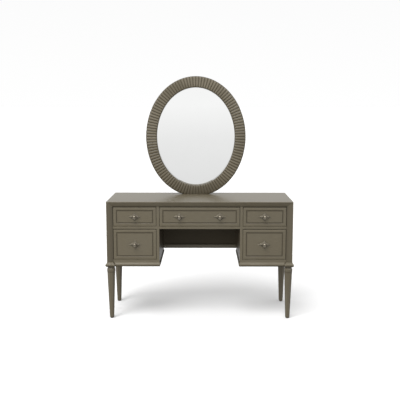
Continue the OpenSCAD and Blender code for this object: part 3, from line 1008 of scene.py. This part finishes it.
def mirror_glass():
    """The silvered glass, with a wide, shallow bevel round its front."""
    front = low("mirror_glass").y - MIRROR_FACE_Y
    back = high("mirror_glass").y - MIRROR_FACE_Y
    section = [(GLASS_INSET + 20 * MM, front), (GLASS_INSET, front + 1.6 * MM), (GLASS_INSET, back)]
    oval_plate("mirror_glass_bevelled", section, SILVERED, "mirror_glass")


def mirror_backing():
    """The board behind the glass, with both its edges eased."""
    front = low("mirror_backing").y - MIRROR_FACE_Y
    back = high("mirror_backing").y - MIRROR_FACE_Y
    eased = 1 * MM
    section = [(GLASS_INSET + eased, front), (GLASS_INSET, front + eased)]
    section += [(GLASS_INSET, back - eased), (GLASS_INSET + eased, back)]
    oval_plate("mirror_backing_board", section, BOARD, "mirror_backing")


def bracket(side):
    """A bent steel strip with rounded corners at its upper end and at the end of its foot."""
    node = "mirror_bracket_" + side
    lowest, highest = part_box(node)
    bm = copy_of(node)

    def is_corner(edge):
        at = edge_middle(edge)
        outer = near(at.x, lowest.x) or near(at.x, highest.x)
        upper = edge_runs(edge, 1) and near(at.z, highest.z)
        foot = edge_runs(edge, 2) and near(at.y, highest.y)
        return outer and (upper or foot)

    corner_r = 9 * MM
    ease(bm, corner_r, is_corner, steps=6)
    ease(bm, 0.5 * MM)
    piece(node + "_bent", bm, POWDER, body_of(node), [node])


def bracket_screws():
    """Two screws through each bracket into the frame, and two through its foot into the top."""
    bm = bmesh.new()
    steel = 5 * MM
    shank = 18 * MM
    back = high("mirror_frame").y
    for side in SIDES:
        x = middle("mirror_bracket_" + side).x
        for rise in (30 * MM, 55 * MM):
            screw(bm, Vector((x, back + steel, TOP_Z + rise)), Vector((0, 1, 0)), shank)
        for reach in (22 * MM, 42 * MM):
            screw(bm, Vector((x, back + reach, TOP_Z + steel)), Vector((0, 0, 1)), shank)
    piece("bracket_screws_panhead", bm, ZINC, "case", ["bracket_screws"])


def mirror():
    """The mirror and what holds it."""
    mirror_frame()
    mirror_glass()
    mirror_backing()
    for side in SIDES:
        bracket(side)
    bracket_screws()


# ---- Room, light and camera ----

CAMERA_DISTANCE = 4.329
CAMERA_X = 0.0299
CAMERA_Z = 1.4067
CAMERA_PITCH = math.radians(8.0)
CAMERA_TURN = 0.0063
CAMERA_LENS = 60.57
SENSOR_W = 36
FLOOR_REACH = 400.0
# How bright the surroundings are, as [height of the direction from -1 to 1, grey].
SKY = [
    (-1.0, 0.3),
    (-0.35, 0.35),
    (-0.2, 0.7),
    (-0.11, 0.82),
    (-0.05, 0.885),
    (0.0, 1.0),
    (0.02, 1.02),
    (0.17, 1.02),
    (0.4, 0.8),
    (1.0, 0.8),
]
KEY_FROM = Vector((-0.3, -0.6, 1.1))
KEY_STRENGTH = 1.9
KEY_SPREAD = math.radians(38)
LEFT_AT = Vector((-2.2, -2.6, 1.5))
LEFT_AIM = Vector((0, 0, 0.7))
LEFT_SIZE = 1.2
LEFT_W = 30


def floor():
    """A wide, pale floor."""
    bm = bmesh.new()
    corners = [(-FLOOR_REACH, -FLOOR_REACH), (FLOOR_REACH, -FLOOR_REACH)]
    corners += [(FLOOR_REACH, FLOOR_REACH), (-FLOOR_REACH, FLOOR_REACH)]
    bm.faces.new([bm.verts.new((x, y, 0)) for x, y in corners])
    mesh = bpy.data.meshes.new("floor")
    bm.to_mesh(mesh)
    bm.free()
    made, tree, shader = material("pale_floor", Roughness=0.9, Specular_IOR_Level=0.1)
    cloud = noise(tree, place_on_piece(tree), 0.8, 2.0, 0.5)
    colour = mix_colour(tree, cloud, rgb(0.86, 0.86, 0.86), rgb(0.88, 0.88, 0.88))
    tree.links.new(colour, shader.inputs["Base Color"])
    mesh.materials.append(made)
    ground = add_object("floor", mesh)
    ground.visible_diffuse = False
    ground.visible_glossy = False


def surroundings():
    """A white room by the height of the direction alone, dim below the horizon."""
    world = bpy.data.worlds.new("white_room")
    world.use_nodes = True
    tree = world.node_tree
    direction = tree.nodes.new("ShaderNodeTexCoord").outputs["Generated"]
    axes = tree.nodes.new("ShaderNodeSeparateXYZ")
    tree.links.new(direction, axes.inputs[0])
    ramp = tree.nodes.new("ShaderNodeValToRGB")
    stops = ramp.color_ramp.elements
    stops.remove(stops[1])
    for i, (height, grey) in enumerate(SKY):
        stop = stops[0] if i == 0 else stops.new(0.5)
        stop.position = (height + 1) / 2
        stop.color = rgb(grey, grey, grey)
    tree.links.new(spread(tree, axes.outputs["Z"], -1.0, 1.0, 0.0, 1.0), ramp.inputs["Fac"])
    background = tree.nodes["Background"]
    tree.links.new(ramp.outputs["Color"], background.inputs["Color"])
    background.inputs["Strength"].default_value = 1.0
    bpy.context.scene.world = world


def lights():
    """A wide, soft key light from above, in front and to the left, and a soft box from the front left."""
    key = bpy.data.lights.new("key_light", "SUN")
    key.energy = KEY_STRENGTH
    key.angle = KEY_SPREAD
    above = add_object("key_light", key)
    above.rotation_euler = KEY_FROM.to_track_quat("Z", "Y").to_euler()
    box = bpy.data.lights.new("left_light", "AREA")
    box.shape = "SQUARE"
    box.size = LEFT_SIZE
    box.energy = LEFT_W
    left = add_object("left_light", box)
    left.location = LEFT_AT
    left.rotation_euler = (LEFT_AIM - LEFT_AT).to_track_quat("-Z", "Y").to_euler()
    left.visible_glossy = False


def camera():
    """The camera that was fitted to the photograph."""
    lens = bpy.data.cameras.new("camera")
    lens.lens = CAMERA_LENS
    lens.sensor_width = SENSOR_W
    made = add_object("camera", lens)
    made.location = (CAMERA_X, FRONT_Y - CAMERA_DISTANCE, CAMERA_Z)
    made.rotation_euler = (math.pi / 2 - CAMERA_PITCH, 0, CAMERA_TURN)
    bpy.context.scene.camera = made


case()
for drawer in DRAWERS:
    drawer_front(drawer)
    drawer_box(drawer)
    pull(drawer)
mirror()
floor()
surroundings()
lights()
camera()
bpy.context.scene.view_settings.view_transform = "Standard"
